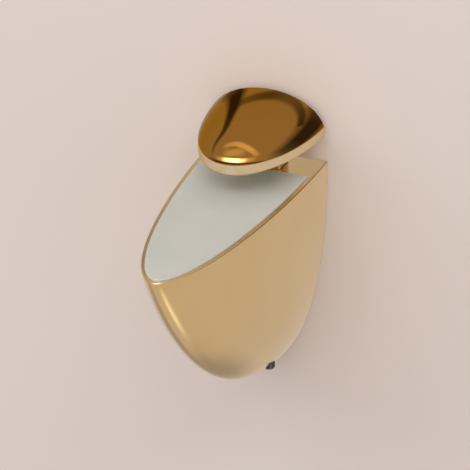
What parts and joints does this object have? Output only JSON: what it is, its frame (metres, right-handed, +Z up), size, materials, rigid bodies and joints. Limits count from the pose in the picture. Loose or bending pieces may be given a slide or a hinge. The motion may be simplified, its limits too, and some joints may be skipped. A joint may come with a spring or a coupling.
{
  "type": "glass shelf clamp bracket",
  "caption": "Wall bracket that clamps the rear edge of a glass shelf between a domed upper jaw and a hollow keel-shaped lower jaw, drawn together by a screw from below.",
  "frame": {"origin": "on the wall, midway between the two wall screw holes", "axes": "+Y into the wall, so the bracket projects towards -Y; +Z up; +X to the right seen from the front"},
  "size_m": [0.0318, 0.0804, 0.0772],
  "materials": {
    "plated_steel": "zinc plated",
    "gold_body": "pale gold plating, satin polish",
    "clear_pad": "milky translucent",
    "gold_cap": "mirror-polished gold plating",
    "cream_pad": "milky translucent",
    "screw_steel": "plated",
    "washer_steel": "zinc plated",
    "spring_steel": "phosphated",
    "black_steel": "black oxide"
  },
  "bodies": {
    "bracket": {"mounting_plate": "plated_steel", "lower_jaw": "gold_body", "lower_pad": "clear_pad", "clamp_washer": "washer_steel", "lock_screws": "black_steel"},
    "upper": {"upper_jaw": "gold_cap", "upper_pad": "cream_pad"},
    "screw": {"clamp_screw": "screw_steel", "retaining_ring": "spring_steel"}
  },
  "joints": [
    {"name": "jaw_slide", "type": "slide", "parent": "bracket", "child": "upper", "axis": [0, 0, 1], "range_m": [-0.0015, 0.004]},
    {"name": "clamp_turn", "type": "hinge", "parent": "bracket", "child": "screw", "pos_m": [0, -0.0058, 0], "axis": [0, 0, 1], "range_deg": [-2057.2, 771.5]}
  ],
  "couplings": [
    {"joint": "clamp_turn", "follows": "jaw_slide", "rad_per_m": -8976}
  ]
}
